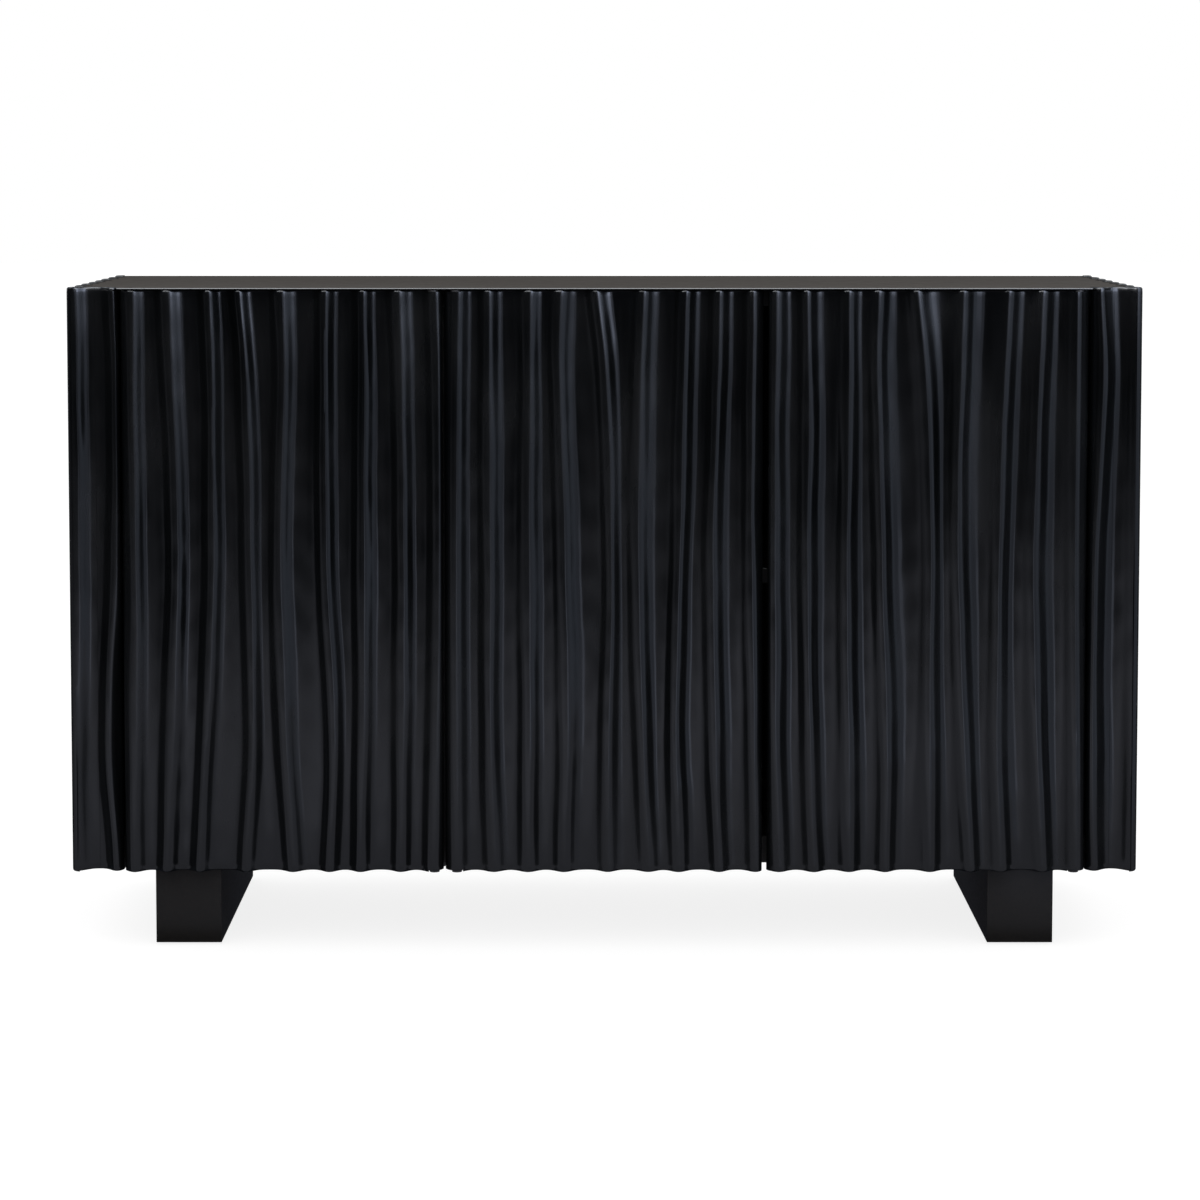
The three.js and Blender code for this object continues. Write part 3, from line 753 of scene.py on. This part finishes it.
BOARDS = ["bottom_board", "subtop_board", "back_panel", "left_shelf", "right_shelf"]
UPRIGHTS = ["left_side_board", "right_side_board", "partition"]
for node in BOARDS:
    put(eased(node, 0.8), node)
for node in UPRIGHTS:
    put(eased(node, 0.8), node, UPRIGHT)
for door in DOORS:
    put(eased(f"{door}_backing", 1.5), f"{door}_backing", UPRIGHT)
for name, hand in ENDS:
    put(eased(f"{name}_runner", 2.0), f"{name}_runner")

for node, obj in frame["nodes"].items():
    if not obj.hide_render:
        dress(obj, FINISHES[SLOT_OF[node]])

# ---------------------------------------------------------------- stage and light
GLOSS_ONLY = ("visible_camera", "visible_diffuse", "visible_transmission", "visible_shadow")


def sheet(name, corners):
    """One flat four-cornered face, in metres."""
    mesh = bpy.data.meshes.new(name)
    mesh.from_pydata(corners, [], [(0, 1, 2, 3)])
    return new_object(name, mesh)


def square(half, z):
    return [(-half, -half, z), (half, -half, z), (half, half, z), (-half, half, z)]


def floor():
    """The pale floor that the picture shows."""
    obj = sheet("floor", square(30.0, 0.0))
    material = bpy.data.materials.new("floor")
    material.use_nodes = True
    shader = material.node_tree.nodes["Principled BSDF"]
    shader.inputs["Base Color"].default_value = (0.28, 0.28, 0.28, 1)
    shader.inputs["Roughness"].default_value = 1.0
    shader.inputs["Specular IOR Level"].default_value = 0.0
    shader.inputs["Emission Color"].default_value = (1, 1, 1, 1)
    shader.inputs["Emission Strength"].default_value = 0.835
    obj.data.materials.append(material)
    obj.visible_glossy = False


def glowing(obj, factors, tint):
    """A studio surface that only reflections see. Its glow is the product of its factors, each an axis and
    (distance, strength) stops along it, counted from the origin to either side."""
    material = bpy.data.materials.new(obj.name)
    material.use_nodes = True
    tree = material.node_tree
    tree.nodes.clear()
    glow = tree.nodes.new("ShaderNodeEmission")
    glow.inputs["Color"].default_value = (*tint, 1)
    output = tree.nodes.new("ShaderNodeOutputMaterial")
    tree.links.new(glow.outputs[0], output.inputs["Surface"])
    split = tree.nodes.new("ShaderNodeSeparateXYZ")
    tree.links.new(tree.nodes.new("ShaderNodeNewGeometry").outputs["Position"], split.inputs[0])
    total = 1.0
    for axis, stops in factors:
        total = arithmetic(tree, "MULTIPLY", total, fading(tree, split.outputs[axis], stops))
    tree.links.new(total, glow.inputs["Strength"])
    obj.data.materials.append(material)
    for flag in GLOSS_ONLY:
        setattr(obj, flag, False)


def arithmetic(tree, operation, *values):
    node = tree.nodes.new("ShaderNodeMath")
    node.operation = operation
    for socket, value in zip(node.inputs, values):
        if isinstance(value, bpy.types.NodeSocket):
            tree.links.new(value, socket)
        else:
            socket.default_value = value
    return node.outputs[0]


def fading(tree, place, stops):
    """The strength that the stops give at a place, by its distance from the origin."""
    reach = stops[-1][0]
    peak = max(strength for _, strength in stops)
    distance = arithmetic(tree, "ABSOLUTE", place)
    share = arithmetic(tree, "MINIMUM", arithmetic(tree, "DIVIDE", distance, reach), 1.0)
    curve = tree.nodes.new("ShaderNodeFloatCurve")
    points = curve.mapping.curves[0].points
    while len(points) < len(stops):
        points.new(0.5, 0.5)
    for point, (stop, strength) in zip(points, stops):
        point.location = (stop / reach, strength / peak)
        point.handle_type = "AUTO_CLAMPED"
    curve.mapping.update()
    tree.links.new(share, curve.inputs["Value"])
    return arithmetic(tree, "MULTIPLY", curve.outputs[0], peak)


def upright_card(name, left, right, bottom, top, stops, tint):
    """A card standing between two (x, y) places, brighter or darker with height."""
    (x0, y0), (x1, y1) = left, right
    obj = sheet(name, [(x0, y0, bottom), (x1, y1, bottom), (x1, y1, top), (x0, y0, top)])
    glowing(obj, [("Z", stops)], tint)


def studio():
    """What the lacquer mirrors: the white sweep it stands on, a tall card, a softbox and a window at the
    right, a lamp overhead and, for the other views, dim cards behind it."""
    sweep = sheet("mirrored_sweep", [(-30, -30, 0), (30, -30, 0), (30, -0.26, 0), (-30, -0.26, 0)])
    # Along y the sweep's glow is dimmer within about a metre of the cabinet, a painted shadow of the cabinet on
    # the floor as the lacquer mirrors it; farther out it fades with distance.
    glow_with_painted_shadow = [
        (0, 0.3), (0.83, 0.36), (1.14, 0.54), (1.5, 0.59), (2.1, 0.47), (3, 0.29), (4, 0.14), (5.6, 0.095),
        (8, 0.07), (20, 0.024),
    ]
    width = [(0, 1.0), (1.2, 0.95), (2.5, 0.6), (4, 0.35), (9, 0.2)]
    glowing(sweep, [("Y", glow_with_painted_shadow), ("X", width)], (0.97, 1.0, 1.17))
    upright_card("mirrored_strip", (0.66, -1.5), (1.12, -1.5), 0.0, 1.6, [
        (0, 1.2), (0.35, 0.78), (0.6, 0.36), (0.85, 0.36), (1.1, 0.9), (1.6, 0.9),
    ], (0.91, 1.0, 1.25))
    upright_card("mirrored_softbox", (0.86, -1.15), (1.5, -0.9), 0.0, 2.4, [
        (0, 0.48), (0.35, 0.34), (0.5, 0.32), (0.8, 0.47), (1.0, 2.1), (1.3, 5.0), (2.4, 5.0),
    ], (0.9, 1.0, 1.27))
    upright_card("mirrored_window", (1.9, -1.7), (1.9, -0.4), 0.0, 2.4, [
        (0, 0.48), (0.35, 0.4), (0.7, 0.44), (0.95, 0.6), (1.25, 2.0), (2.4, 2.6),
    ], (0.87, 1.0, 1.27))
    lamp = sheet("mirrored_lamp", [(-3, -2.4, 2.6), (3, -2.4, 2.6), (3, -0.5, 2.6), (-3, -0.5, 2.6)])
    glowing(lamp, [("X", [(0, 9), (3, 9)])], (0.97, 1.0, 1.05))
    for hand in (-1, 1):
        upright_card("mirrored_rear_card", (2.6 * hand, 0.6), (2.0 * hand, 2.4), 0.0, 2.4, [
            (0, 0.2), (0.9, 0.5), (2.4, 1.6),
        ], (0.95, 1.0, 1.05))


class Sky:
    """The room round the studio, by direction: white to look at, dim where the lacquer mirrors it."""

    def __init__(self):
        scene.world = bpy.data.worlds.new("studio")
        scene.world.use_nodes = True
        self.tree = scene.world.node_tree
        self.tree.nodes.clear()
        direction = self.tree.nodes.new("ShaderNodeTexCoord").outputs["Generated"]
        split = self.tree.nodes.new("ShaderNodeSeparateXYZ")
        self.tree.links.new(direction, split.inputs[0])
        self.forward = split.outputs["Y"]
        self.upward = split.outputs["Z"]

    def blend(self, factor, a, b):
        node = self.tree.nodes.new("ShaderNodeMix")
        node.data_type = "RGBA"
        self.tree.links.new(factor, node.inputs[0])
        for socket, value in ((node.inputs[6], a), (node.inputs[7], b)):
            if isinstance(value, bpy.types.NodeSocket):
                self.tree.links.new(value, socket)
            else:
                socket.default_value = (*value, 1)
        return node.outputs[2]

    def rise(self, value, start, end):
        node = self.tree.nodes.new("ShaderNodeMapRange")
        node.interpolation_type = "SMOOTHSTEP"
        node.inputs["From Min"].default_value = start
        node.inputs["From Max"].default_value = end
        self.tree.links.new(value, node.inputs["Value"])
        return node.outputs["Result"]

    def finish(self):
        room = self.blend(self.rise(self.upward, 0.15, 0.6), (0.024, 0.027, 0.036), (0.6, 0.64, 0.72))
        behind = self.tree.nodes.new("ShaderNodeMath")
        behind.operation = "MULTIPLY"
        self.tree.links.new(self.rise(self.forward, 0.5, 0.9), behind.inputs[0])
        self.tree.links.new(self.rise(self.upward, -0.02, 0.02), behind.inputs[1])
        room = self.blend(behind.outputs[0], room, (0.16, 0.155, 0.15))
        is_gloss = self.tree.nodes.new("ShaderNodeLightPath").outputs["Is Glossy Ray"]
        background = self.tree.nodes.new("ShaderNodeBackground")
        output = self.tree.nodes.new("ShaderNodeOutputWorld")
        self.tree.links.new(self.blend(is_gloss, (1, 1, 1), room), background.inputs["Color"])
        self.tree.links.new(background.outputs[0], output.inputs["Surface"])


floor()
studio()
Sky().finish()
